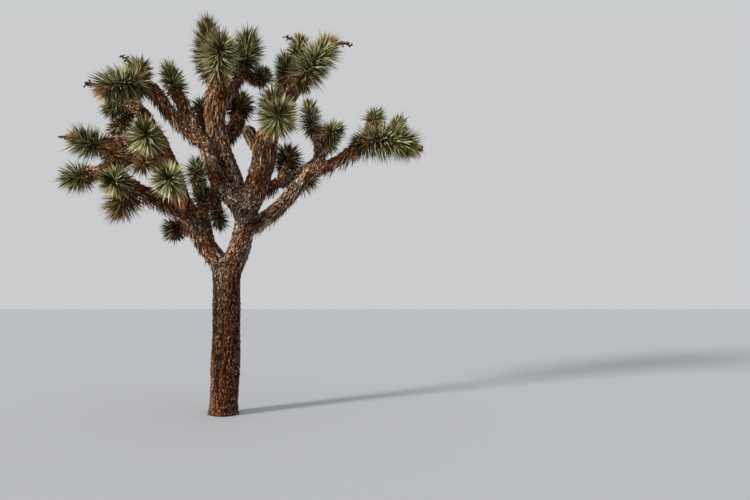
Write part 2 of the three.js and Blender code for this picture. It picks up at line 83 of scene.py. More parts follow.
# Each limb starts on its parent's centre line, at a share of the parent's length. After its radii at root
# and tip come legs of heading, rise and run, the control lines that its centre line follows.
LIMBS = {
    "left_bough": ("trunk", 0.93, 0.144, 0.124, (-171, 52, 0.66), (-160, 60, 0.53)),
    "middle_bough": ("trunk", 0.93, 0.176, 0.15, (0, 57, 0.56), (180, 85, 0.574)),
    "right_arm": ("middle_bough", 0.68, 0.13, 0.098, (6, 19, 0.548), (-7, 58, 0.93)),
    "right_arm_outer": ("right_arm", 0.96, 0.094, 0.086, (-8, 9, 0.5), (-14, 43, 0.44)),
    "right_spur": ("right_arm_outer", 0.22, 0.1, 0.084, (95, 86, 0.41)),
    "tall_bough": ("middle_bough", 0.93, 0.182, 0.168, (0, 66, 0.73), (-78, 45, 0.58)),
    "broken_stub": ("tall_bough", 0.72, 0.112, 0.11, (179, 57, 0.45)),
    "upper_right_bough": ("tall_bough", 0.74, 0.115, 0.098, (87, 49, 0.69), (32, 62, 0.74)),
    "upper_right_rear": ("upper_right_bough", 0.7, 0.082, 0.072, (82, 62, 0.74)),
    "rear_right_bough": ("tall_bough", 0.2, 0.09, 0.078, (52, 29, 0.67)),
    "front_strand": ("middle_bough", 0.95, 0.138, 0.102, (-171, 38, 0.68), (165, 83, 0.65)),
    "crown_leader": ("middle_bough", 0.96, 0.118, 0.16, (134, 62, 0.73), (-163, 55, 0.78), (-54, 52, 0.68)),
    "crown_right": ("crown_leader", 0.8, 0.084, 0.074, (66, 53, 0.54), (23, 65, 0.47)),
    "crown_rear": ("crown_leader", 0.6, 0.104, 0.12, (71, 22, 0.29), (77, 52, 0.45)),
    "inner_left": ("front_strand", 0.9, 0.064, 0.058, (120, 46, 0.69)),
    "upper_left_bough": ("front_strand", 0.96, 0.106, 0.092, (-176, 31, 0.55), (-173, 58, 0.72)),
    "upper_left_spur": ("upper_left_bough", 0.15, 0.09, 0.094, (151, 67, 0.49), (169, 52, 0.36)),
    "left_riser": ("left_bough", 0.96, 0.122, 0.106, (-121, 72, 0.523), (-165, 63, 0.61)),
    "riser_top": ("left_riser", 0.93, 0.09, 0.078, (149, 55, 0.47), (138, 42, 0.41)),
    "left_front_spur": ("left_riser", 0.55, 0.104, 0.12, (-128, 33, 0.34), (-96, 19, 0.22)),
    "left_reach": ("left_riser", 0.96, 0.104, 0.098, (173, 18, 0.37), (180, -12, 0.5)),
    "lower_reach": ("left_reach", 0.3, 0.104, 0.092, (165, -42, 0.43), (176, -18, 0.48)),
    "left_outer": ("left_bough", 0.93, 0.104, 0.086, (-161, 20, 0.326), (-163, 31, 0.41)),
    "low_front_spur": ("left_riser", 0.12, 0.082, 0.076, (-86, 15, 0.49)),
    "drooping_limb": ("front_strand", 0.45, 0.105, 0.094, (122, -11, 0.31), (88, -69, 0.21)),
    "left_rear_bough": ("left_bough", 0.3, 0.094, 0.082, (119, 40, 0.58), (116, 50, 0.46)),
    "low_left_spur": ("left_bough", 0.75, 0.074, 0.066, (125, 6, 0.5)),
    "rear_crown_limb": ("crown_leader", 0.35, 0.088, 0.074, (123, 40, 1.04), (107, 64, 0.83)),
    "rear_right_limb": ("upper_right_bough", 0.35, 0.084, 0.072, (95, 36, 0.89), (89, 51, 0.57)),
    "rear_left_limb": ("riser_top", 0.5, 0.076, 0.068, (125, 31, 0.97), (122, 34, 0.57)),
    "rear_low_limb": ("left_rear_bough", 0.6, 0.08, 0.07, (131, 35, 0.83), (133, 41, 0.64)),
    "rear_arm": ("rear_right_bough", 0.9, 0.076, 0.068, (48, 25, 0.74), (53, 47, 0.46)),
}


def stem(reach, *legs, at=None, leafy=None, stalk=None, dry=0, painted_shade=0):
    """Plan of one stem of a mass: from the limb's tip, or from a share of the mass's first stem.
    A share of its leaves is dry. Its painted shade darkens its leaves where the tuft lies in the crown's
    shade; below 0 it lightens them as painted light and turns more dry ones to straw."""
    leafy = leafy or LEAFY_LENGTH * reach
    return SimpleNamespace(reach=reach, legs=legs, at=at, leafy=leafy, stalk=stalk, dry=dry, painted_shade=painted_shade)


# Each mass grows on from one limb's tip, and a stem ends at the eye of its tuft
# A stem's shade is painted: above 0 it darkens a tuft in the crown's shade, below 0 it lightens a lit tuft
# and makes more dry leaves straw
MASSES = {
    "tufts_right_spur": ("right_spur", [
        stem(0.25, (180, 54, 0.22), (179, 83, 0.38), leafy=0.28, painted_shade=0.08),
        stem(0.238, (-24, 14, 0.345), at=0.25),
    ]),
    "tuft_upper_right": ("upper_right_bough", [
        stem(0.39, (-10, 60, 0.47), (-13, 46, 0.54), leafy=0.68, stalk=[(-10, 33, 0.36), (0, -38, 0.21)]),
    ]),
    "tufts_upper_rear": ("upper_right_rear", [
        stem(0.28, (120, 80, 0.41), leafy=0.26, painted_shade=0.14),
        stem(0.25, (37, 56, 0.35), (-2, 84, 0.4), at=0.35, leafy=0.32,
            stalk=[(170, 42, 0.19), (180, 20, 0.11)], painted_shade=0.1),
    ]),
    "tuft_centre_front": ("tall_bough", [
        stem(0.355, (-58, 22, 0.3), (-62, 17, 0.29), painted_shade=-0.08),
        stem(0.29, (100, 80, 0.45), at=0.4, painted_shade=0.3),
    ]),
    "tufts_rear_right": ("rear_right_bough", [
        stem(0.335, (52, 8, 0.28), (57, 26, 0.39), painted_shade=0.12),
        stem(0.3, (75, 58, 0.3), (92, 46, 0.39), at=0.05, dry=0.25, painted_shade=0.32),
    ]),
    "tufts_crown_front": ("crown_leader", [
        stem(0.37, (-79, 77, 0.5), (-71, 4, 0.32), leafy=0.48, painted_shade=-0.15),
        stem(0.315, (144, 50, 0.43), (108, 84, 0.64), at=0.15, leafy=0.78, dry=0.3, painted_shade=0.24),
    ]),
    "tufts_crown_right": ("crown_right", [
        stem(0.36, (10, 80, 0.51), leafy=0.42, painted_shade=0.18),
        stem(0.25, (60, -30, 0.36), (57, 52, 0.3), at=0.15, painted_shade=0.2),
    ]),
    "tuft_crown_rear": ("crown_rear", [stem(0.33, (93, 59, 0.49), painted_shade=0.48)]),
    "tuft_inner_left": ("inner_left", [stem(0.245, (102, 60, 0.51), painted_shade=0.14)]),
    "tuft_upper_left_spur": ("upper_left_spur", [stem(0.265, (180, 71, 0.44), leafy=0.38, painted_shade=0.1)]),
    "tufts_upper_left": ("upper_left_bough", [
        stem(0.362, (-146, 18, 0.35), (-133, -36, 0.45), leafy=0.5,
            stalk=[(-175, 4, 0.29), (176, 0, 0.12)]),
        stem(0.26, (138, 38, 0.24), (143, 67, 0.26), at=0.15,
            stalk=[(178, 46, 0.21), (180, 30, 0.17)], painted_shade=0.14),
    ]),
    "tufts_left_rear_crown": ("riser_top", [
        stem(0.265, (158, 37, 0.4), (-179, -32, 0.26), painted_shade=0.12),
        stem(0.235, (119, -25, 0.29), (155, -28, 0.32), at=0.35, dry=0.3, painted_shade=0.16),
    ]),
    "tuft_left_front": ("left_front_spur", [
        stem(0.315, (-85, 26, 0.35)),
        stem(0.21, (-115, -58, 0.31), dry=0.95, painted_shade=-0.2),
    ]),
    "tuft_left_reach": ("left_reach", [
        stem(0.335, (-159, -14, 0.23), (-139, 25, 0.18), leafy=0.33,
            stalk=[(168, 24, 0.25), (175, 4, 0.2)]),
        stem(0.25, (-25, -48, 0.27), at=0.02, dry=1, painted_shade=-0.35),
    ]),
    "tuft_lower_reach": ("lower_reach", [stem(0.305, (176, -12, 0.41))]),
    "tufts_left_outer": ("left_outer", [
        stem(0.285, (-136, 22, 0.31), (-93, -13, 0.28)),
        stem(0.335, (136, -22, 0.19), (163, -52, 0.23), at=0.2, leafy=0.26, dry=0.75, painted_shade=0.14),
    ]),
    "tuft_low_front": ("low_front_spur", [stem(0.3, (-86, 11, 0.42), painted_shade=-0.05)]),
    "tuft_drooping": ("drooping_limb", [stem(0.235, (89, -53, 0.33), painted_shade=0.22)]),
    "tufts_left_rear": ("left_rear_bough", [
        stem(0.265, (105, 53, 0.49), leafy=0.24, painted_shade=0.2),
        stem(0.268, (130, 52, 0.39), (124, 77, 0.44), at=0.35, leafy=0.2, painted_shade=0.14),
    ]),
    "tuft_low_left": ("low_left_spur", [stem(0.262, (129, -6, 0.41), painted_shade=0.3)]),
    "tufts_right_arm": ("right_arm_outer", [
        stem(0.37, (-10, 24, 0.48), (7, -29, 0.43), leafy=0.78,
            stalk=[(0, -8, 0.2), (0, -45, 0.11)], painted_shade=0.08),
        stem(0.228, (63, 49, 0.38), (35, 70, 0.23), at=0.12, painted_shade=0.14),
        stem(0.22, (30, 40, 0.27), (46, 58, 0.12), at=0.5, painted_shade=0.14),
    ]),
    "tuft_rear_crown": ("rear_crown_limb", [stem(0.32, (102, 64, 0.84), painted_shade=0.32)]),
    "tuft_rear_right": ("rear_right_limb", [stem(0.31, (76, 55, 0.62))]),
    "tuft_rear_left": ("rear_left_limb", [stem(0.31, (127, 36, 0.62))]),
    "tuft_rear_low": ("rear_low_limb", [stem(0.31, (136, 40, 0.69))]),
    "tuft_rear_arm": ("rear_arm", [stem(0.3, (64, 56, 0.5))]),
}

# Bark meshes
TRUNK_GRID = 0.0075
LIMB_GRID = 0.0125
STEM_GRID = 0.024
STEM_TIP_RADIUS = 0.045
STEM_SEED = 40
LEAST_STATIONS = 4
LEAST_SIDES = 8
DOME_RINGS = 7
SMALLEST_RING = 0.02
FORK_DOME = 0.3
FORK_FLATNESS = 0.2
FLAT_HEIGHT = 0.4
JOINT_REACH = 0.14
DISTANCE_STEP = 2
FILLET_SHARE = 0.4
LEAST_FILLET = 0.01
FILLET_ROUNDS = 4
BURIED = 0.045
LIMB_OFFSET = np.array([1.71, 3.13, 5.37])

# Old bark: plates with furrows, grain and broad lumps. A noise is given by its sizes across, across and
# along the limb and by its seed.
PLATES = SimpleNamespace(
    bend=0.035, bends=((0.09, 0.09, 0.16), 11), flakes=((0.026, 0.026, 0.052), 21), edge=(0.02, 0.3),
    least=0.45, uneven=0.55, slope=0.35, slope_start=0.3, plate=0.7,
    furrows=((0.05, 0.05, 0.5), 31), furrow_edge=(0.86, 0.99), furrow=0.45,
    grains=((0.011, 0.011, 0.017), 51), grain=0.34,
    lumps=((0.16, 0.16, 0.4), 41), lump=0.022, height=0.024, level=0.45,
)

# Young bark: shaggy flakes that overlap towards the limb's root, with fibres and broad lumps
SHAGS = SimpleNamespace(
    bend=0.03, bends=((0.07, 0.07, 0.14), 12), flakes=((0.031, 0.031, 0.11), 22), edge=(0, 0.28),
    least=0.4, uneven=0.6, middle=0.75, slope=0.7, lowest=0.2, flake=0.65,
    fibres=((0.018, 0.018, 0.16), 32), fibre=0.45, loss=0.08,
    lumps=((0.12, 0.12, 0.3), 42), lump=0.022, height=0.03, level=0.4,
)

# Heights between which bark turns old, is lighter again at the foot, and takes on its limb's own age and
# painted shade
OLD_BARK = (2.9, 1.6)
FOOT = (1.25, 0.6)
FOOT_LIGHTNESS = 0.22
OWN_AGE_AND_SHADE = (FORK_HEIGHT, FORK_HEIGHT + 0.6)

# How much further some limbs have gone towards old bark's darker colour, or less far where below 0. On the
# limbs in the crown's shade this darkening is painted shade.
AGE_AND_SHADE_LIMBS = {
    "left_bough": 0.75, "left_riser": 0.6, "left_outer": 0.3, "tall_bough": 0.3, "middle_bough": -0.5,
    "broken_stub": 0.7, "upper_left_bough": 0.3, "crown_rear": 0.6,
}

# Rust: a long streak on the front past the fork, short streaks, young bark, the foot and all over
RUST = SimpleNamespace(
    sideways=0.11, level=2, lean=0.05, turn=0.28, width=0.1, front=(0.05, -0.1), end=(3.1, 2.7), long=0.7,
    streaks=((0.09, 0.09, 0.8), 61), streak_edge=(0.5, 0.8), streak=0.3,
    young=0.7, foot_heights=(2, 0.8), foot=0.42, all_over=0.08, patch=0.9,
)

# Rusty patches by sideways place and height, and their size
RUST_PATCHES = [
    (0.5, 3.5, 0.17), (-0.16, 3.59, 0.14), (-0.45, 3.18, 0.16), (-0.27, 2.52, 0.1), (-1.27, 3.4, 0.17),
    (-0.98, 3.86, 0.14), (1.3, 3.55, 0.12), (0.42, 4.2, 0.14),
]

# Added rust on the limbs that are redder than the rest, or less of it where below 0. On the left bough the
# added rust also darkens it as painted shade.
RUST_AND_SHADE_LIMBS = {
    "left_riser": 0.75, "left_outer": 0.3, "upper_left_bough": 0.05, "tall_bough": -0.15,
    "right_arm_outer": 0.05, "crown_leader": 0.15, "left_front_spur": 0.3, "left_bough": 0.2,
    "right_spur": -0.5, "broken_stub": -0.6, "left_reach": -0.2,
}

# Old scars in the bark: centre, size and depth
SCARS = [
    ((-0.035, -0.21, 0.86), 0.07, 0.03), ((-0.15, -0.15, 1.27), 0.1, 0.02),
    ((-0.15, -0.15, 0.98), 0.08, 0.025), ((-0.13, -0.16, 1.5), 0.09, 0.015),
    ((0.46, -0.15, 2.93), 0.12, 0.03), ((0.58, -0.11, 3.04), 0.08, 0.012),
    ((0.41, -0.16, 2.77), 0.07, 0.015),
]
SCAR_DARKNESS = 0.9

# Blades, which all leaves are: three-sided, widest at their middle and closed at both ends
BLADE_POINTS = 7
BLADE_MIDDLE = 0.55
BLADE_ROOT_WIDTH = 0.85
BLADE_FACES = np.array([
    (0, 4, 1), (0, 3, 4), (1, 5, 2), (1, 4, 5), (2, 3, 0), (2, 5, 3), (3, 6, 4), (4, 6, 5), (5, 6, 3),
    (0, 1, 2),
])
DOWN = np.array([0, 0, -1.0])

# Live leaves: lengths in shares of the reach, and places in shares of the way from the eye to the skirt
LEAF = SimpleNamespace(
    per_area=530, lowest=0.1, turn_spread=7, skirt=(0.72, 0.95), lean_spread=5, roll_spread=0.35,
    even=0.9, uneven=0.2, heading_scale=3, place_scale=5, seed=71,
    length=0.76, growth=0.39, growth_power=1.5, back=(0.75, 1), back_loss=0.22, eye=0.14, eye_length=0.75,
    root=0.1, sag=0.03, back_sag=0.06, sway=0.015,
    width=0.0168, widths=(0.85, 1.15), slim=0.7, slim_until=0.15, filled=0.3, thickness=0.3,
    # Painted shade darkens the leaves round the eye and at the back of a tuft
    dead=0.85, dead_places=(0.68, 1), eye_shade=0.5, back_shade=0.22, back_shade_places=(0.7, 1),
    # Painted light makes upward leaves a little lighter
    tone=0.5, painted_top_light=0.04, tone_spread=0.34,
)
SHORTER_LEAVES = [0.85, 0.7]
LIMB_CLEARANCE = 0.008
SHARED_ROOM = 0.05
NEARBY = 2
LIVE_SEED = 1000

# Dead leaves, which hang down from where their limb or stem doesn't face up
DEAD_WIDTH = 0.015
DEAD_THICKNESS = 0.25
HANGING_LEVEL = 0.45
THATCH_SEED = 2000

# Dead leaves on the stems, folded back behind the live ones. Each tint goes up to its tone.
SKIRT = SimpleNamespace(
    per_length=860, least=0.12, bare=0.8, added_length=0.1, out=0.055,
    lean=122, back_lean=34, lean_power=0.6, lean_spread=13, droop=0.35, roll_spread=0.6,
    length=0.46, back_loss=0.2, lengths=(0.5, 1.15), sag=0.12, sway=0.03, widths=(0.8, 1.2),
    # Painted light lifts a skirt's tones where its stem's shade is below 0, and painted shade browns a
    # share where above
    light=2, brown_for_shade=2.8, tone_spread=0.4,
    tints={"tan": 0.5, "rust": 0.78, "brown": 1.05, "grey": math.inf},
)

# Dead leaves on the limbs, by the square metre on young and old bark, nearly flat against it
THATCH = SimpleNamespace(
    young=1000, old=380, clearance=0.02, scarred=0.4, sunk=0.012,
    near_power=3, lean=18, near_lean=14, lean_spread=9, droop=0.9, roll_spread=0.7,
    length=0.05, young_length=0.04, near_length=0.02, lengths=(0.6, 1.4), lower_length=1.1, longest=0.17,
    sag=0.15, sway=0.08, widths=(0.7, 1.3),
    tone_spread=0.45, tints={"grey": 0.4, "brown": 0.85, "rust": 1.3, "tan": math.inf},
)

# Share of the dead leaves that has fallen from the barest limbs
BARE_LIMBS = {
    "trunk": 0.55, "right_spur": 0.6, "broken_stub": 0.9, "middle_bough": 0.3, "front_strand": 0.4,
    "tall_bough": 0.35, "right_arm_outer": 0.2,
}

# Share of brown dead leaves added as painted shade on limbs in the crown's shade
SHADED_LIMBS = {
    "tall_bough": 0.65, "rear_right_bough": 0.6, "left_rear_bough": 0.6, "crown_right": 0.4,
    "drooping_limb": 0.6, "crown_rear": 0.8, "left_riser": 0.3, "left_bough": 0.55, "low_left_spur": 0.6,
    "riser_top": 0.3,
}

# Old flower stalks and the prongs that bore their fruit
STALK = SimpleNamespace(radii=(0.022, 0.011), rings=10, sides=6, sunk=0.25, seed=31)
PRONG = SimpleNamespace(
    count=22, start=0.55, rises=(-50, 60), lengths=(0.03, 0.07), radii=(0.006, 0.012), rings=3,
)

# Colours of bark by tone, from its cracks to its edges, as six-figure screen colours
OLD_PLATES = [(0.24, "150c07"), (0.42, "403023"), (0.58, "695645"), (0.76, "a9957f")]
YOUNG_PLATES = [(0.26, "17100a"), (0.42, "635140"), (0.56, "b09a84"), (0.72, "f4e8d8")]
OLD_RUSTS = [(0.24, "190b05"), (0.42, "4c2a18"), (0.6, "74462b"), (0.78, "a67c5c")]
YOUNG_RUSTS = [(0.26, "1a0d06"), (0.42, "5c351d"), (0.58, "96592f"), (0.74, "cf9d68")]
# Cracks and furrows are darkened by relief share: partly the bark's own darker colour, partly painted shade
CRACK_COLOUR_AND_SHADE = [(0.08, "59402f"), (0.36, "b8b0a8"), (0.62, "ffffff")]
RUST_EDGE = [(0.22, "000000"), (0.85, "ffffff")]

# Fine texture of bark: noises by their stretch along the limb, scale and detail
FIBRES = (0.24, 130, 5)
PATCHES = (0.5, 16, 4)
NOISE_ROUGHNESS = 0.62
FLAKE = SimpleNamespace(stretch=0.42, scale=68, tone=0.42, height=0.8)
FIBRE_TONE = 0.55
LEAST_TONE = -0.02
BUMP_HEIGHT = 0.006
BUMP_STRENGTH = 0.7

# Colours of leaves and stalks, and how rough and glossy surfaces are
LEAF_TONES = {"deep": 0.24, "olive": 0.44, "green": 0.64, "pale": math.inf}
LEAF_TINTS = {
    "deep": "302c13", "olive": "5c572c", "green": "817d49", "pale": "b5b087",
    "straw": "a08354", "umber": "4a3422",
}
DEAD_TINTS = {"tan": "c6a67e", "rust": "966238", "brown": "4c3220", "grey": "8f7f6f"}
STALK_COLOUR = "3f2a20"
ROUGHNESS = {"bark": 0.92, "leaf": 0.55, "dead": 0.85, "stalk": 0.9, "floor": 0.9}
GLOSS = 0.12

# Sockets of a node that mixes colours
MIX_INPUTS = (0, 6, 7)
MIX_OUTPUT = 2

# Studio: a light's way, spread in degrees, power and colour
CAMERA_PLACE = (2.295, -9.29, 1.6)
CAMERA_TILT = 95.52
LENS = 28.8
SENSOR_WIDTH = 36
FLOOR_SIZE = 900
FLOOR_COLOUR = "b2b4b8"
AIR_COLOUR = "e6e8ea"
AIR_STRENGTH = 0.75
LIGHTS = {
    "key": ((10, 8, -3.7), 12, 5.6, (1, 0.98, 0.93)),
    "fill": ((-8, 6, -3), 40, 0.2, (0.95, 0.97, 1)),
}

# Whole numbers that scramble a cell's place into its random number
CELL_FACTORS = (73856093, 19349663, 83492791)
SEED_FACTOR = 961748927
SCRAMBLER = 1274126177
SHIFTS = (13, 11)
WHOLE_MASK = 0x7FFFFFFF
SHARE_MASK = 0xFFFFFF
NUMBER_SEED = 7

# Least length that a vector is divided by
TINY = 1e-9


def unit(vectors):
    return vectors / np.maximum(np.linalg.norm(vectors, axis=-1, keepdims=True), TINY)


def smooth_step(low, high, values):
    share = np.clip((values - low) / (high - low), 0, 1)
    return share * share * (3 - 2 * share)


def tapered(radii, shares):
    return radii[0] + (radii[1] - radii[0]) * shares


def around(angles, first, second):
    """Directions at the angles from the first towards the second"""
    return np.cos(angles) * first + np.sin(angles) * second


def direction(heading, rise):
    turn = math.radians(heading)
    climb = math.radians(rise)
    return np.array([math.cos(climb) * math.cos(turn), math.cos(climb) * math.sin(turn), math.sin(climb)])


def stacked(rows):
    """The columns of the rows, each joined into one array"""
    return tuple(np.concatenate(column) for column in zip(*rows))


# Lines and limbs

def bezier(points, shares):
    """Points at the shares of the curve that the control points draw"""
    shares = np.asarray(shares, float)[:, None]
    rows = [np.broadcast_to(point, (len(shares), 3)) for point in points]
    while len(rows) > 1:
        rows = [(1 - shares) * here + shares * ahead for here, ahead in zip(rows, rows[1:])]
    return rows[0]


class Line:
    """Smooth centre line from a start along its control legs, with a section frame that never twists"""

    def __init__(self, start, legs):
        points = [np.asarray(start, float)]
        for heading, rise, run in legs:
            points.append(points[-1] + run * direction(heading, rise))
        self.points = np.array(points)
        self.shares = np.linspace(0, 1, LINE_STATIONS)
        self.centres = bezier(self.points, self.shares)
        steps = np.linalg.norm(np.diff(self.centres, axis=0), axis=1)
        self.ways = np.concatenate([[0], np.cumsum(steps)])
        self.length = self.ways[-1]
        self.normals = self.carried_normals()

    def at(self, share):
        return bezier(self.points, [share])[0]

    def tangents(self, shares):
        return unit(bezier(np.diff(self.points, axis=0), shares))

    def carried_normals(self):
        tangents = self.tangents(self.shares)
        guide = np.array([0, 0, 1.0]) if abs(tangents[0][2]) < NEARLY_UPRIGHT else np.array([1.0, 0, 0])
        normal = unit(np.cross(guide, tangents[0]))
        normals = []
        for tangent in tangents:
            normal = unit(normal - tangent * normal.dot(tangent))
            normals.append(normal)
        return np.array(normals)

    def frames(self, shares):
        """Centres, tangents, normals and binormals at the shares"""
        tangents = self.tangents(shares)
        normals = np.stack([np.interp(shares, self.shares, column) for column in self.normals.T], axis=1)
        normals = unit(normals - tangents * (normals * tangents).sum(1, keepdims=True))
        return bezier(self.points, shares), tangents, normals, np.cross(tangents, normals)


class Limb:
    """A limb's centre line with its radius and youth at each share"""

    def __init__(self, name, on, line, radii, seed):
        self.name = name
        self.on = on
        self.line = line
        self.radii = radii
        self.seed = seed
        self.tip_way = 0

    def radius(self, shares):
        if self.name == "trunk":
            return trunk_radius(bezier(self.line.points, shares)[:, 2])
        return tapered(self.radii, shares)

    def youth(self, shares):
        """How near the leaves the bark is, from 0 for old bark to 1 at the tufts"""
        ways = np.interp(shares, self.line.shares, self.line.ways)
        return np.exp(-(self.line.length - ways + self.tip_way) / YOUTH_LENGTH)


def trunk_radius(height):
    """Flare at the foot, long shaft to the waist, then the spread of the fork"""
    flare = (FOOT_RADIUS - SHAFT_RADIUS) * np.exp(-FLARE_FADE * height / FLARE_HEIGHT)
    shaft = SHAFT_RADIUS + flare + (WAIST_RADIUS - SHAFT_RADIUS) * height / WAIST_HEIGHT
    spread = (height - WAIST_HEIGHT) / (FORK_HEIGHT - WAIST_HEIGHT)
    return np.where(height < WAIST_HEIGHT, shaft, tapered((WAIST_RADIUS, FORK_RADIUS), spread))


def grow_limbs():
    """The trunk and every limb, each with the way from its tip to the nearest tufts"""
    trunk_line = Line((0, 0, 0), TRUNK_LEGS)
    limbs = {"trunk": Limb("trunk", None, trunk_line, (FOOT_RADIUS, FORK_RADIUS), 0)}
    for seed, (name, (on, at, root, tip, *legs)) in enumerate(LIMBS.items(), 1):
        line = Line(limbs[on].line.at(at), legs)
        limbs[name] = Limb(name, limbs[on], line, (root, tip), seed)
    leafy = {on for on, _ in MASSES.values()}
    for limb in reversed(limbs.values()):
        ahead = [child.line.length + child.tip_way for child in limbs.values() if child.on is limb]
        limb.tip_way = 0 if limb.name in leafy else min(ahead, default=DEAD_END)
    return limbs


def grow_stems(limbs):
    """The stems of every mass, each with its centre line and the radius at its root"""
    for on, stems in MASSES.values():
        for plan in stems:
            if plan.at is None:
                start = limbs[on].line.at(1)
                plan.root_radius = STEM_SHARE * limbs[on].radii[1]
            else:
                start = stems[0].line.at(plan.at)
                plan.root_radius = BRANCH_ROOT * plan.reach
            plan.line = Line(start, plan.legs)
    return {name: stems for name, (_, stems) in MASSES.items()}


# Repeatable noise

def cell_random(cells, seed):
    """Number from 0 to 1 for each whole-numbered cell"""
    x, y, z = (cells[..., axis].astype(np.int64) * factor for axis, factor in enumerate(CELL_FACTORS))
    mixed = x ^ y ^ z ^ (seed * SEED_FACTOR)
    mixed = ((mixed ^ (mixed >> SHIFTS[0])) * SCRAMBLER) & WHOLE_MASK
    return ((mixed ^ (mixed >> SHIFTS[1])) & SHARE_MASK) / SHARE_MASK


def soft_noise(points, sizes, seed):
    """Smooth noise from 0 to 1 that changes over the sizes"""
    points = points / sizes
    base = np.floor(points)
    share = smooth_step(0, 1, points - base)
    total = np.zeros(len(points))
    for corner in np.ndindex(2, 2, 2):
        weight = np.prod(np.where(np.array(corner), share, 1 - share), axis=1)
        total += weight * cell_random(base + np.array(corner), seed)
    return total


def flakes(points, sizes, seed):
    """Flakes of the sizes: how far a point is from its flake's edge, its flake's own number,
    and how far along the flake it lies"""
    points = points / sizes
    base = np.floor(points)
    nearest = np.full(len(points), np.inf)
    second = np.full(len(points), np.inf)
    number = np.zeros(len(points))
    along = np.zeros(len(points))
    for corner in np.ndindex(3, 3, 3):
        cell = base + np.array(corner) - 1
        heart = cell + np.stack([cell_random(cell, seed + axis) for axis in range(3)], axis=1)
        away = points - heart
        gap = np.linalg.norm(away, axis=1)
        closer = gap < nearest
        second = np.where(closer, nearest, np.minimum(second, gap))
        number = np.where(closer, cell_random(cell, seed + NUMBER_SEED), number)
        along = np.where(closer, away[:, 2], along)
        nearest = np.where(closer, gap, nearest)
    return second - nearest, number, along


# Relief and colour of bark

def scales(place, kind):
    """Places bent a little, how high the flakes stand there, and how far along its flake each place lies"""
    bent = place + kind.bend * (soft_noise(place, *kind.bends) - 0.5)[:, None]
    edge, number, along = flakes(bent, *kind.flakes)
    return bent, smooth_step(*kind.edge, edge) * (kind.least + kind.uneven * number), along


def raised(place, share, kind):
    """Height in metres and share of height, with broad lumps"""
    share = np.clip(share, 0, 1)
    lump = soft_noise(place, *kind.lumps) - 0.5
    return kind.height * (share - kind.level) + kind.lump * lump, share


def plate_relief(place):
    bent, plate, along = scales(place, PLATES)
    plate = plate * (1 - PLATES.slope * np.clip(along + PLATES.slope_start, 0, 1))
    furrow = smooth_step(*PLATES.furrow_edge, 1 - np.abs(2 * soft_noise(bent, *PLATES.furrows) - 1))
    grain = soft_noise(bent, *PLATES.grains)
    return raised(place, PLATES.plate * plate + PLATES.grain * grain - PLATES.furrow * furrow, PLATES)


def shaggy_relief(place):
    bent, flake, along = scales(place, SHAGS)
    flake = flake * np.clip(SHAGS.middle - SHAGS.slope * along, SHAGS.lowest, 1)
    fibre = soft_noise(bent, *SHAGS.fibres)
    return raised(place, SHAGS.flake * flake + SHAGS.fibre * fibre - SHAGS.loss, SHAGS)


def bark_relief(place, age):
    """Plates on old bark that give way to shaggy flakes on young bark"""
    plate_height, plate_share = plate_relief(place)
    shaggy_height, shaggy_share = shaggy_relief(place)
    return age * plate_height + (1 - age) * shaggy_height, age * plate_share + (1 - age) * shaggy_share


def scar_marks(points):
    """How deep and how dark the scars are at each point"""
    depths = np.zeros(len(points))
    marks = np.zeros(len(points))
    for centre, size, depth in SCARS:
        mark = np.exp(-(np.linalg.norm(points - centre, axis=1) / size) ** 2)
        depths += depth * mark
        marks = np.maximum(marks, mark)
    return depths, marks


def rustiness(points, youth, place):
    """Where the bark is rusty: in streaks and patches on old bark, and all round near the tufts"""
    x, y, z = points.T
    middle = RUST.sideways + RUST.lean * (z - RUST.level) + RUST.turn * np.maximum(z - FORK_HEIGHT, 0)
    front = np.exp(-((x - middle) / RUST.width) ** 2)
    front = front * smooth_step(*RUST.front, y) * smooth_step(*RUST.end, z)
    patches = np.zeros(len(points))
    for sideways, height, size in RUST_PATCHES:
        patches += RUST.patch * np.exp(-(np.hypot(x - sideways, z - height) / size) ** 2)
    streak = smooth_step(*RUST.streak_edge, soft_noise(place, *RUST.streaks))
    foot = smooth_step(*RUST.foot_heights, z)
    rust = RUST.streak * streak + RUST.young * youth + RUST.long * front + RUST.foot * foot
    return rust + RUST.all_over + patches


# Tubes

def tube_distance(points, limb):
    """Distance from points to a limb's smooth surface, and the direction away from its centre line"""
    if limb.name == "trunk":
        above_fork = np.maximum(points[:, 2:] - FORK_HEIGHT, 0)
        points = points - (1 / FORK_DOME - 1) * above_fork * DOWN
    centres = limb.line.centres[::DISTANCE_STEP]
    radii = limb.radius(limb.line.shares[::DISTANCE_STEP])
    steps = np.diff(centres, axis=0)
    away = points[:, None] - centres[:-1]
    share = np.clip((away * steps).sum(2) / (steps * steps).sum(1), 0, 1)
    away -= share[..., None] * steps
    gap = np.linalg.norm(away, axis=2)
    signed = gap - (radii[:-1] + share * np.diff(radii))
    best = signed.argmin(1)
    rows = np.arange(len(points))
    return signed[rows, best], unit(away[rows, best])


def nearest_limb(points, own, limbs):
    """Distance to the nearest other limb, the direction away from it and its fillet size"""
    distance = np.full(len(points), JOINT_REACH)
    away = np.zeros((len(points), 3))
    fillet = np.full(len(points), LEAST_FILLET)
    for limb in limbs:
        if limb is own:
            continue
        room = max(limb.radii) + JOINT_REACH
        low = limb.line.centres.min(0) - room
        high = limb.line.centres.max(0) + room
        close = np.flatnonzero(((points > low) & (points < high)).all(1))
        if not len(close):
            continue
        signed, outward = tube_distance(points[close], limb)
        nearer = signed < distance[close]
        chosen = close[nearer]
        distance[chosen] = signed[nearer]
        away[chosen] = outward[nearer]
        fillet[chosen] = FILLET_SHARE * min(own.radii[1], limb.radii[1])
    return distance, away, fillet


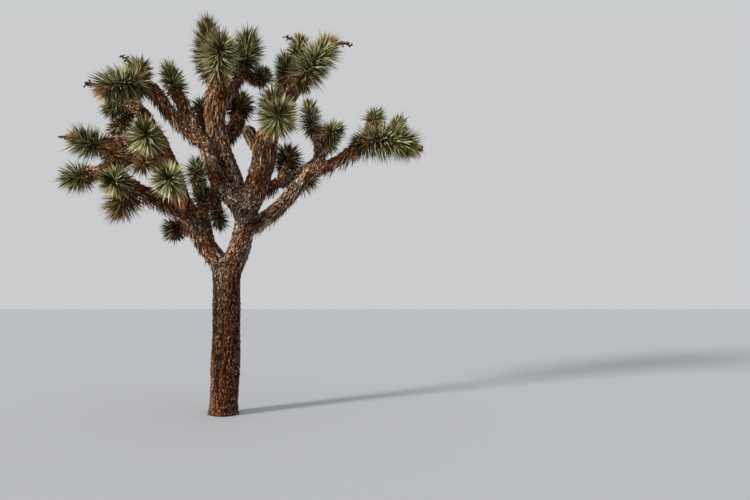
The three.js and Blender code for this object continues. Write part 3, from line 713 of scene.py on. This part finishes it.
def fillet_rise(distance, cosine, fillet):
    """How far the surface rises to run smoothly into its neighbour"""
    rise = np.zeros(len(distance))
    for _ in range(FILLET_ROUNDS):
        beside = distance + rise * cosine
        rise = np.maximum(fillet - np.abs(rise - beside), 0) ** 2 / (4 * fillet)
    return rise


def ripple(limb, angles, shares):
    """Radius of a limb's skin at each angle and share, as a share of its plain radius"""
    rings = max(LEAST_RINGS, round(limb.line.length / RING_SPACING)) * shares
    wave = BARK_RIPPLE * np.sin(RIPPLE_WAVES * angles + limb.seed + RIPPLE_TWIST * rings)
    return 1 + wave + BARK_LUMP * np.sin(LUMP_WAVES * angles - LUMP_WAVES * limb.seed + LUMP_TWIST * rings)


def tube_stations(limb, spacing):
    """Share, offset along the limb, size and outward tilt of each ring. Both ends are domes,
    apart from the trunk's flat foot."""
    trunk = limb.name == "trunk"
    dome = FORK_DOME if trunk else 1
    count = max(LEAST_STATIONS, round(limb.line.length / spacing))
    shares = np.interp(np.linspace(0, limb.line.length, count + 1), limb.line.ways, limb.line.shares)
    rows = [(share, 0, 1, 0) for share in shares]
    for step in range(1, DOME_RINGS + 1):
        turn = 0.5 * math.pi * step / DOME_RINGS
        size = max(math.cos(turn), SMALLEST_RING)
        rows.append((1, dome * math.sin(turn), size, math.sin(turn)))
        if not trunk:
            rows.insert(0, (0, -math.sin(turn), size, -math.sin(turn)))
    return np.array(rows).T


def ring_spokes(sides, normals, binormals):
    """Angles round the rings, and the directions there at each station"""
    angles = 2 * math.pi * np.arange(sides) / sides
    return angles, around(angles[:, None], normals[:, None], binormals[:, None])


def tube_triangles(rings, sides):
    """Triangles of a tube's side and of its two ends"""
    ring, side = np.meshgrid(np.arange(rings - 1), np.arange(sides), indexing="ij")
    here = (ring * sides + side).ravel()
    beside = (ring * sides + (side + 1) % sides).ravel()
    fan = np.arange(1, sides - 1)
    last = (rings - 1) * sides
    return np.concatenate([
        np.stack([here, beside, beside + sides], axis=1),
        np.stack([here, beside + sides, here + sides], axis=1),
        np.stack([0 * fan, fan + 1, fan], axis=1),
        np.stack([0 * fan + last, last + fan, last + fan + 1], axis=1),
    ])


def tube_skin(limb, spacing):
    """Points of a limb's smooth skin, triangles, outward directions, places on the bark and youth"""
    shares, offsets, sizes, tilts = tube_stations(limb, spacing)
    centres, tangents, normals, binormals = limb.line.frames(shares)
    radii = limb.radius(shares)
    sides = max(LEAST_SIDES, round(2 * math.pi * radii.max() / spacing))
    angles, spokes = ring_spokes(sides, normals, binormals)
    shape = ripple(limb, angles, shares[:, None])
    centres = centres + (offsets * radii)[:, None] * tangents
    points = centres[:, None] + (sizes * radii)[:, None, None] * shape[..., None] * spokes
    points = points.reshape(-1, 3)
    if limb.name == "trunk":
        flat = smooth_step(FORK_HEIGHT - FLAT_HEIGHT, FORK_HEIGHT, points[:, 2])
        points[:, 1] *= 1 - FORK_FLATNESS * flat
    outward = np.sqrt(1 - tilts ** 2)[:, None, None] * spokes + (tilts[:, None] * tangents)[:, None]
    ways = np.interp(shares, limb.line.shares, limb.line.ways) + offsets * radii
    place = np.stack([
        radii[:, None] * np.cos(angles),
        radii[:, None] * np.sin(angles),
        np.broadcast_to(ways[:, None], shape.shape),
    ], axis=2).reshape(-1, 3) + limb.seed * LIMB_OFFSET
    youth = np.broadcast_to(limb.youth(shares)[:, None], shape.shape).ravel()
    return points, tube_triangles(len(shares), sides), unit(outward.reshape(-1, 3)), place, youth


def bark_tube(limb, spacing, limbs):
    """Points, triangles, places, relief, rust and age of one limb's bark"""
    points, triangles, outward, place, youth = tube_skin(limb, spacing)
    distance, away, fillet = nearest_limb(points, limb, limbs)
    buried = (distance < -BURIED)[triangles].all(1)
    age = smooth_step(*OLD_BARK, points[:, 2])
    height, relief = bark_relief(place, age)
    depth, scar = scar_marks(points)
    # Scars lower the relief share, so the crack ramp paints them darker
    relief = relief * (1 - SCAR_DARKNESS * scar)
    rise = fillet_rise(distance, (outward * away).sum(1), fillet)
    points = points + (height - depth + rise)[:, None] * outward
    points[:, 2] = np.maximum(points[:, 2], 0)
    # A limb's own age shifts its bark colour above the fork; on shaded limbs it is painted shade
    own_age_and_shade = AGE_AND_SHADE_LIMBS.get(limb.name, 0) * smooth_step(*OWN_AGE_AND_SHADE, points[:, 2])
    age = age - FOOT_LIGHTNESS * smooth_step(*FOOT, points[:, 2]) + own_age_and_shade
    # Per-limb rust, which on the left bough is partly painted shade
    rust = rustiness(points, youth, place) + RUST_AND_SHADE_LIMBS.get(limb.name, 0)
    return points, triangles[~buried], place, relief, np.clip(rust, 0, 1), np.clip(age, 0, 1)


# Mesh objects

def joined(parts):
    """One set of points, triangles and values of the points from several"""
    starts = np.cumsum([0] + [len(part[0]) for part in parts])
    return stacked([(part[0], part[1] + start, *part[2:]) for part, start in zip(parts, starts)])


def placed(name, data):
    """Scene object that holds the data"""
    thing = bpy.data.objects.new(name, data)
    bpy.context.scene.collection.objects.link(thing)
    return thing


def make_mesh(name, points, triangles, material, smooth, values=None):
    """Mesh object from triangles, with the points that no triangle uses left out"""
    used = np.unique(triangles)
    fresh = np.zeros(len(points), int)
    fresh[used] = np.arange(len(used))
    mesh = bpy.data.meshes.new(name)
    mesh.from_pydata(points[used], [], fresh[triangles], shade_flat=not smooth)
    for label, value in (values or {}).items():
        kind, field = ("FLOAT_VECTOR", "vector") if value.ndim == 2 else ("FLOAT", "value")
        attribute = mesh.attributes.new(label, kind, "POINT")
        attribute.data.foreach_set(field, value[used].astype(np.float32).ravel())
    mesh.materials.append(material)
    return placed(name, mesh)


def settle(piece, nodes):
    """The piece rides on the tree and stands for its nodes"""
    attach(piece, "root")
    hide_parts(*nodes)


# Leaves

def blade_corners(roots, tips, across, widths, thickness, sags):
    """Corners of each blade: three at its root, three at its middle, and its tip"""
    across = unit(across)
    keel = np.cross(across, unit(tips - roots))
    middle = roots + BLADE_MIDDLE * (tips - roots) + BLADE_MIDDLE ** 2 * sags
    thick = (widths * thickness)[:, None]
    corners = []
    for centre, size in ((roots, BLADE_ROOT_WIDTH), (middle, 1)):
        side = 0.5 * size * widths[:, None] * across
        corners += [centre - side, centre + side, centre + size * thick * keel]
    return np.stack([*corners, tips + sags], axis=1)


def scattered(line, shares, random):
    """Centres on the line, its axes there, and directions away from it at random angles"""
    centres, axes, normals, binormals = line.frames(shares)
    angles = random.uniform(0, 2 * math.pi, len(shares))[:, None]
    return centres, axes, around(angles, normals, binormals)


def leaning(kind, lean, axes, spokes, random):
    """Headings of leaves that lean from the axes towards the spokes"""
    angles = np.radians(lean + random.normal(0, kind.lean_spread, len(axes)))[:, None]
    return around(angles, axes, spokes)


def rolled(kind, axes, spokes, headings, random):
    """Directions across leaves that are rolled a little"""
    across = np.cross(axes, spokes)
    angles = random.normal(0, kind.roll_spread, len(axes))[:, None]
    return around(angles, across, np.cross(across, headings))


def samples_along(line, radii):
    """Points along a line with the radius there, for measuring room"""
    shares = np.linspace(0, 1, math.ceil(line.length / SAMPLE_SPACING) + 1)
    return bezier(line.points, shares), tapered(radii, shares)


def gaps_to(points, samples):
    """Least distance from each point to the samples' surfaces"""
    centres, radii = samples
    if not len(centres):
        return np.full(len(points), np.inf)
    away = np.linalg.norm(points[:, None] - centres, axis=2)
    return (away - radii).min(1)


def near_samples(samples, point, reach):
    centres, radii = samples
    close = np.linalg.norm(centres - point, axis=1) - radii < reach
    return centres[close], radii[close]


def has_room(bases, tips, limb_room, own_room, other_room):
    """Whether leaves keep clear of every limb and to their own mass's space"""
    tests = (bases[:, None] + ROOM_TESTS[:, None] * (tips - bases)[:, None]).reshape(-1, 3)
    clear = gaps_to(tests, limb_room) > LIMB_CLEARANCE
    own = gaps_to(tests, own_room) < gaps_to(tests, other_room) + SHARED_ROOM
    return (clear & own).reshape(len(bases), -1).all(1)


def fitted_tips(centres, headings, extents, rooms):
    """Tips of the leaves, shorter where they would touch something, and which of them fit"""
    tips = centres + extents[:, None] * headings
    fits = has_room(centres, tips, *rooms)
    for shorter in SHORTER_LEAVES:
        again = np.flatnonzero(~fits)
        if len(again):
            trial = centres[again] + (shorter * extents[again])[:, None] * headings[again]
            good = has_room(centres[again], trial, *rooms)
            tips[again[good]] = trial[good]
            fits[again[good]] = True
    return tips, fits


def grow_leaves(plan, rooms, random, blades):
    """Leaves of one tuft, set on a golden spiral from its eye back to its skirt"""
    line, reach = plan.line, plan.reach
    area = 2 * math.pi * reach * (reach + plan.leafy)
    count = round(LEAF.per_area * area)
    share = (np.arange(count) + 0.5) / count
    places = np.maximum(LEAF.lowest, 1 - plan.leafy * share / line.length)
    centres, axes, normals, binormals = line.frames(places)
    turns = GOLDEN_ANGLE * np.arange(count) + random.normal(0, LEAF.turn_spread, count)
    spokes = around(np.radians(turns)[:, None], normals, binormals)
    lean = tapered((FRONT_LEAN, BACK_LEAN), share ** LEAN_RISE)
    lean = lean + SKIRT_LEAN * smooth_step(*LEAF.skirt, share)
    headings = leaning(LEAF, lean, axes, spokes, random)
    uneven = soft_noise(LEAF.heading_scale * headings + LEAF.place_scale * centres, 1, LEAF.seed)
    heart = plan.stalk is not None and share < LEAF.eye
    growth = LEAF.length + LEAF.growth * random.uniform(0, 1, count) ** LEAF.growth_power
    extents = reach * (LEAF.even + LEAF.uneven * uneven) * growth * np.where(heart, LEAF.eye_length, 1)
    extents = extents * (1 - LEAF.back_loss * smooth_step(*LEAF.back, share))
    tips, fits = fitted_tips(centres, headings, extents, rooms)
    roots = centres + LEAF.root * (tips - centres)
    across = rolled(LEAF, axes, spokes, headings, random)
    sags = (LEAF.sag + LEAF.back_sag * share)[:, None] * extents[:, None] * DOWN
    sags = sags + LEAF.sway * random.normal(0, 1, (count, 3)) * reach
    slim = LEAF.slim + LEAF.filled * smooth_step(0, LEAF.slim_until, share)
    widths = LEAF.width * random.uniform(*LEAF.widths, count) * slim
    dry = np.where(heart, 1, np.maximum(plan.dry, LEAF.dead * smooth_step(*LEAF.dead_places, share)))
    # Painted shade: leaves darker round the eye and at the back of the tuft
    painted_shade = plan.painted_shade + LEAF.eye_shade * smooth_step(LEAF.eye, 0, share)
    painted_shade = painted_shade + LEAF.back_shade * smooth_step(*LEAF.back_shade_places, share)
    tints = np.where(heart, "straw", leaf_tints(headings, painted_shade, dry, random))
    blades.append((blade_corners(roots, tips, across, widths, LEAF.thickness, sags)[fits], tints[fits]))


def tints_by(tones, limits):
    """For each tone the first tint whose limit is above it"""
    return np.select([tones < limit for limit in limits.values()], list(limits), "")


def leaf_tints(headings, painted_shade, dry, random):
    """Tint of each live leaf: darker for painted shade, lighter upward for painted light, straw or umber
    where it is dry
    """
    count = len(headings)
    tones = LEAF.tone - painted_shade + LEAF.painted_top_light * headings[:, 2] + random.normal(0, LEAF.tone_spread, count)
    dead = np.where(random.uniform(size=count) < LEAF.tone - painted_shade, "straw", "umber")
    return np.where(random.uniform(size=count) < dry, dead, tints_by(tones, LEAF_TONES))


def hanging(directions, outward, weight):
    """Directions of dead leaves, drawn down where they hang free under their limb"""
    free = np.clip(HANGING_LEVEL - outward[:, 2:], 0, 1)
    return unit(directions + weight * free * DOWN)


def dead_blades(kind, roots, axes, spokes, headings, lengths, sway, tones, brown_for_shade, random):
    """Corners and tints of dead leaves that roll, sag and sway as their kind does, with a share turned
    brown as painted shade
    """
    count = len(roots)
    across = rolled(kind, axes, spokes, headings, random)
    sags = kind.sag * lengths * DOWN + kind.sway * random.normal(0, 1, (count, 3)) * sway
    tones = tones + random.normal(0, kind.tone_spread, count)
    tints = np.where(random.uniform(size=count) < brown_for_shade, "brown", tints_by(tones, kind.tints))
    widths = DEAD_WIDTH * random.uniform(*kind.widths, count)
    return blade_corners(roots, roots + lengths * headings, across, widths, DEAD_THICKNESS, sags), tints


def grow_skirt(plan, random, blades):
    """Dead leaves folded back along a stem, behind its live ones"""
    line, reach = plan.line, plan.reach
    front = max(SKIRT.least, 1 - SKIRT.bare * plan.leafy / line.length)
    count = round(SKIRT.per_length * (front * line.length + SKIRT.added_length))
    share = random.uniform(0, 1, count)
    centres, axes, spokes = scattered(line, front * (1 - share), random)
    lean = SKIRT.lean + SKIRT.back_lean * share ** SKIRT.lean_power
    headings = hanging(leaning(SKIRT, lean, axes, spokes, random), spokes, SKIRT.droop)
    lengths = reach * (SKIRT.length - SKIRT.back_loss * share) * random.uniform(*SKIRT.lengths, count)
    roots = centres + SKIRT.out * spokes
    # Painted light lifts the skirt's tones where the stem's shade is below 0, and painted shade browns a
    # share where above
    tones = share + SKIRT.light * min(plan.painted_shade, 0)
    brown_for_shade = SKIRT.brown_for_shade * plan.painted_shade
    lengths = lengths[:, None]
    blades.append(dead_blades(
        SKIRT, roots, axes, spokes, headings, lengths, reach, tones, brown_for_shade, random,
    ))


def grow_thatch(limb, limbs, random, blades):
    """Remains of dead leaves on a limb, long and rusty near the tufts, short and grey on old bark"""
    area = 2 * math.pi * np.mean(limb.radii) * limb.line.length
    count = round(THATCH.young * area)
    shares = random.uniform(0, 1, count)
    youth = limb.youth(shares)
    left = tapered((THATCH.old, THATCH.young), youth) * (1 - BARE_LIMBS.get(limb.name, 0))
    kept = random.uniform(0, THATCH.young, count) < left
    shares, youth = shares[kept], youth[kept]
    count = len(shares)
    centres, axes, spokes = scattered(limb.line, shares, random)
    surface = centres + limb.radius(shares)[:, None] * spokes
    open_bark = nearest_limb(surface, limb, limbs)[0] > THATCH.clearance
    free = open_bark & (scar_marks(surface)[1] < THATCH.scarred)
    near = youth ** THATCH.near_power
    lean = THATCH.lean + THATCH.near_lean * near
    headings = hanging(leaning(THATCH, lean, -axes, spokes, random), spokes, THATCH.droop)
    lengths = THATCH.length + THATCH.young_length * youth + THATCH.near_length * near
    lengths = lengths * random.uniform(*THATCH.lengths, count)
    lengths = lengths * (1 + THATCH.lower_length * np.clip(-spokes[:, 2], 0, 1))
    lengths = np.minimum(lengths, THATCH.longest)[:, None]
    roots = surface - THATCH.sunk * spokes
    # Brown dead leaves added as painted shade on a shaded limb
    brown_for_shade = SHADED_LIMBS.get(limb.name, 0)
    corners, tints = dead_blades(
        THATCH, roots, axes, spokes, headings, lengths, lengths, youth, brown_for_shade, random,
    )
    blades.append((corners[free], tints[free]))


# Materials

def paint(code):
    """Linear colour of a six-figure screen colour"""
    shares = [int(code[index:index + 2], 16) / 255 for index in (0, 2, 4)]
    return tuple(((s + 0.055) / 1.055) ** 2.4 if s > 0.04045 else s / 12.92 for s in shares) + (1,)


class Finish:
    """Material in the making"""

    def __init__(self, name, roughness):
        self.material = bpy.data.materials.new(name)
        self.material.use_nodes = True
        self.tree = self.material.node_tree
        self.sockets = self.tree.nodes["Principled BSDF"].inputs
        self.sockets["Roughness"].default_value = roughness
        self.sockets["Specular IOR Level"].default_value = GLOSS

    def feed(self, socket, value):
        """Gives a socket its plain value or a link from another node"""
        if isinstance(value, bpy.types.NodeSocket):
            self.tree.links.new(value, socket)
        else:
            socket.default_value = value

    def node(self, kind, inputs=None, **settings):
        made = self.tree.nodes.new(kind)
        for label, value in settings.items():
            setattr(made, label, value)
        for label, value in (inputs or {}).items():
            self.feed(made.inputs[label], value)
        return made

    def attribute(self, name, output="Fac"):
        return self.node("ShaderNodeAttribute", attribute_name=name).outputs[output]

    def stretched(self, place, stretch):
        """Places with their way along the limb cut to a share, which draws a texture out along it"""
        return self.node("ShaderNodeMapping", {"Vector": place, "Scale": (1, 1, stretch)}).outputs["Vector"]

    def noise(self, place, stretch, scale, detail):
        inputs = {"Scale": scale, "Detail": detail, "Roughness": NOISE_ROUGHNESS}
        inputs["Vector"] = self.stretched(place, stretch)
        return self.node("ShaderNodeTexNoise", inputs).outputs["Fac"]

    def ramp(self, value, stops):
        """Colour ramp from stops of place and colour"""
        made = self.node("ShaderNodeValToRGB", {"Fac": value})
        elements = made.color_ramp.elements
        while len(elements) < len(stops):
            elements.new(0.5)
        for element, (place, code) in zip(elements, stops):
            element.position = place
            element.color = paint(code)
        return made.outputs["Color"]

    def mix(self, share, first, second, blend="MIX"):
        made = self.node("ShaderNodeMix", data_type="RGBA", blend_type=blend)
        for index, value in zip(MIX_INPUTS, (share, first, second)):
            self.feed(made.inputs[index], value)
        return made.outputs[MIX_OUTPUT]

    def maths(self, operation, *values):
        made = self.node("ShaderNodeMath", operation=operation)
        for socket, value in zip(made.inputs, values):
            self.feed(socket, value)
        return made.outputs[0]


def bark_finish(name):
    """Bark of flakes along the limb: grey plates, rusty streaks, cracks darkened partly as painted shade,
    and fine fibres
    """
    finish = Finish(name, ROUGHNESS["bark"])
    place = finish.attribute("place", "Vector")
    fibres = finish.noise(place, *FIBRES)
    patches = finish.noise(place, *PATCHES)
    flake_place = finish.stretched(place, FLAKE.stretch)
    flake = finish.node("ShaderNodeTexVoronoi", {"Vector": flake_place, "Scale": FLAKE.scale})
    number = finish.node("ShaderNodeSeparateColor", {"Color": flake.outputs["Color"]}).outputs["Red"]
    tone = finish.maths("MULTIPLY_ADD", fibres, FIBRE_TONE, LEAST_TONE)
    tone = finish.maths("ADD", tone, finish.maths("MULTIPLY", number, FLAKE.tone))
    age = finish.attribute("age")
    plates = finish.mix(age, finish.ramp(tone, YOUNG_PLATES), finish.ramp(tone, OLD_PLATES))
    rusts = finish.mix(age, finish.ramp(tone, YOUNG_RUSTS), finish.ramp(tone, OLD_RUSTS))
    rust = finish.maths("ADD", finish.attribute("rust"), finish.maths("SUBTRACT", patches, 0.5))
    colour = finish.mix(finish.ramp(rust, RUST_EDGE), plates, rusts)
    # Cracks darkened by relief share, partly painted shade
    cracks = finish.ramp(finish.attribute("relief"), CRACK_COLOUR_AND_SHADE)
    finish.feed(finish.sockets["Base Color"], finish.mix(1.0, colour, cracks, "MULTIPLY"))
    height = finish.maths("ADD", fibres, finish.maths("MULTIPLY", flake.outputs["Distance"], FLAKE.height))
    inputs = {"Height": height, "Distance": BUMP_HEIGHT, "Strength": BUMP_STRENGTH}
    finish.feed(finish.sockets["Normal"], finish.node("ShaderNodeBump", inputs).outputs["Normal"])
    return finish.material


def plain_finish(name, code, roughness):
    finish = Finish(name, roughness)
    finish.feed(finish.sockets["Base Color"], paint(code))
    return finish.material


# Assembly

def bark_piece(name, tubes, material, nodes):
    points, triangles, *values = joined(tubes)
    values = dict(zip(("place", "relief", "rust", "age"), values))
    settle(make_mesh(name, points, triangles, material, True, values), nodes)


def dress_limbs(limbs):
    every = list(limbs.values())
    trunk = bark_tube(limbs["trunk"], TRUNK_GRID, every)
    bark_piece("bark_of_trunk", [trunk], bark_finish("trunk_bark"), ["trunk"])
    limb_finish = bark_finish("limb_bark")
    for name, thick in (("bark_of_boughs", True), ("bark_of_branches", False)):
        group = [limb for limb in every[1:] if (limb.radii[0] > THICK_LIMB) == thick]
        tubes = [bark_tube(limb, LIMB_GRID, every) for limb in group]
        bark_piece(name, tubes, limb_finish, [limb.name for limb in group])
    return limb_finish


def dress_stems(masses, limb_finish):
    tubes = []
    plans = [plan for stems in masses.values() for plan in stems]
    for seed, plan in enumerate(plans, STEM_SEED):
        limb = Limb("stem", None, plan.line, (plan.root_radius, STEM_TIP_RADIUS), seed)
        tubes.append(bark_tube(limb, STEM_GRID, []))
    bark_piece("bark_of_stems", tubes, limb_finish, masses)


def grow_masses(limbs, masses):
    """Leaves and skirts of every mass"""
    live = []
    dead = []
    limb_samples = stacked([samples_along(limb.line, limb.radii) for limb in limbs.values()])
    spaces = {}
    for name, stems in masses.items():
        spaces[name] = stacked([samples_along(plan.line, (0, 0)) for plan in stems])
    for seed, (name, stems) in enumerate(masses.items(), LIVE_SEED):
        random = np.random.default_rng(seed)
        others = stacked([space for other, space in spaces.items() if other != name])
        for plan in stems:
            eye = plan.line.at(1)
            room = NEARBY * plan.reach + plan.leafy
            near_limbs = near_samples(limb_samples, eye, room)
            near_others = near_samples(others, eye, NEARBY * room)
            grow_leaves(plan, (near_limbs, spaces[name], near_others), random, live)
            grow_skirt(plan, random, dead)
    return live, dead


def dress_blades(blades, label, kind, tints, nodes):
    """One piece of leaves for each tint"""
    corners, own_tints = stacked(blades)
    for tint, code in tints.items():
        chosen = corners[own_tints == tint]
        triangles = BLADE_POINTS * np.arange(len(chosen))[:, None, None] + BLADE_FACES
        material = plain_finish(f"{kind}_{tint}", code, ROUGHNESS[kind])
        points = chosen.reshape(-1, 3)
        piece = make_mesh(f"{label}_{tint}", points, triangles.reshape(-1, 3), material, False)
        settle(piece, nodes)


def dress_leaves(limbs, masses):
    live, dead = grow_masses(limbs, masses)
    every = list(limbs.values())
    for seed, limb in enumerate(every[1:], THATCH_SEED):
        grow_thatch(limb, every, np.random.default_rng(seed), dead)
    dress_blades(live, "leaves", "leaf", LEAF_TINTS, masses)
    dress_blades(dead, "thatch", "dead", DEAD_TINTS, masses)


def stalk_tube(line, radii, rings):
    shares = np.linspace(0, 1, rings)
    centres, _, normals, binormals = line.frames(shares)
    _, spokes = ring_spokes(STALK.sides, normals, binormals)
    points = centres[:, None] + tapered(radii, shares)[:, None, None] * spokes
    return points.reshape(-1, 3), tube_triangles(rings, STALK.sides)


def dress_stalks(masses):
    """Old flower stalks with the short prongs that bore their fruit"""
    random = np.random.default_rng(STALK.seed)
    tubes = []
    nodes = []
    bearing = [(name, plan) for name, stems in masses.items() for plan in stems if plan.stalk]
    for name, plan in bearing:
        nodes.append(name)
        start = plan.line.at(max(0, 1 - STALK.sunk * plan.reach / plan.line.length))
        line = Line(start, plan.stalk)
        tubes.append(stalk_tube(line, STALK.radii, STALK.rings))
        for _ in range(PRONG.count):
            share = random.uniform(PRONG.start, 1)
            way = (random.uniform(0, 360), random.uniform(*PRONG.rises), random.uniform(*PRONG.lengths))
            tubes.append(stalk_tube(Line(line.at(share), [way]), PRONG.radii, PRONG.rings))
    material = plain_finish("old_stalk", STALK_COLOUR, ROUGHNESS["stalk"])
    settle(make_mesh("flower_stalks", *joined(tubes), material, True), nodes)


# Studio

def set_camera():
    data = bpy.data.cameras.new("camera")
    data.lens = LENS
    data.sensor_width = SENSOR_WIDTH
    camera = placed("camera", data)
    camera.location = CAMERA_PLACE
    camera.rotation_euler = (math.radians(CAMERA_TILT), 0, 0)
    bpy.context.scene.camera = camera


def set_floor():
    corners = [(-1, -1, 0), (1, -1, 0), (1, 1, 0), (-1, 1, 0)]
    points = FLOOR_SIZE * np.array(corners, float)
    material = plain_finish("floor", FLOOR_COLOUR, ROUGHNESS["floor"])
    floor = make_mesh("floor", points, np.array([(0, 1, 2), (0, 2, 3)]), material, False)


def set_light():
    world = bpy.data.worlds.new("studio")
    world.use_nodes = True
    background = world.node_tree.nodes["Background"]
    background.inputs["Color"].default_value = paint(AIR_COLOUR)
    background.inputs["Strength"].default_value = AIR_STRENGTH
    bpy.context.scene.world = world
    bpy.context.scene.view_settings.view_transform = "Standard"
    for name, (way, spread, power, colour) in LIGHTS.items():
        data = bpy.data.lights.new(name, "SUN")
        data.angle = math.radians(spread)
        data.energy = power
        data.color = colour
        placed(name, data).rotation_euler = Vector(way).to_track_quat("-Z", "Y").to_euler()


limbs = grow_limbs()
masses = grow_stems(limbs)
limb_finish = dress_limbs(limbs)
dress_stems(masses, limb_finish)
dress_leaves(limbs, masses)
dress_stalks(masses)
set_floor()
set_light()
set_camera()
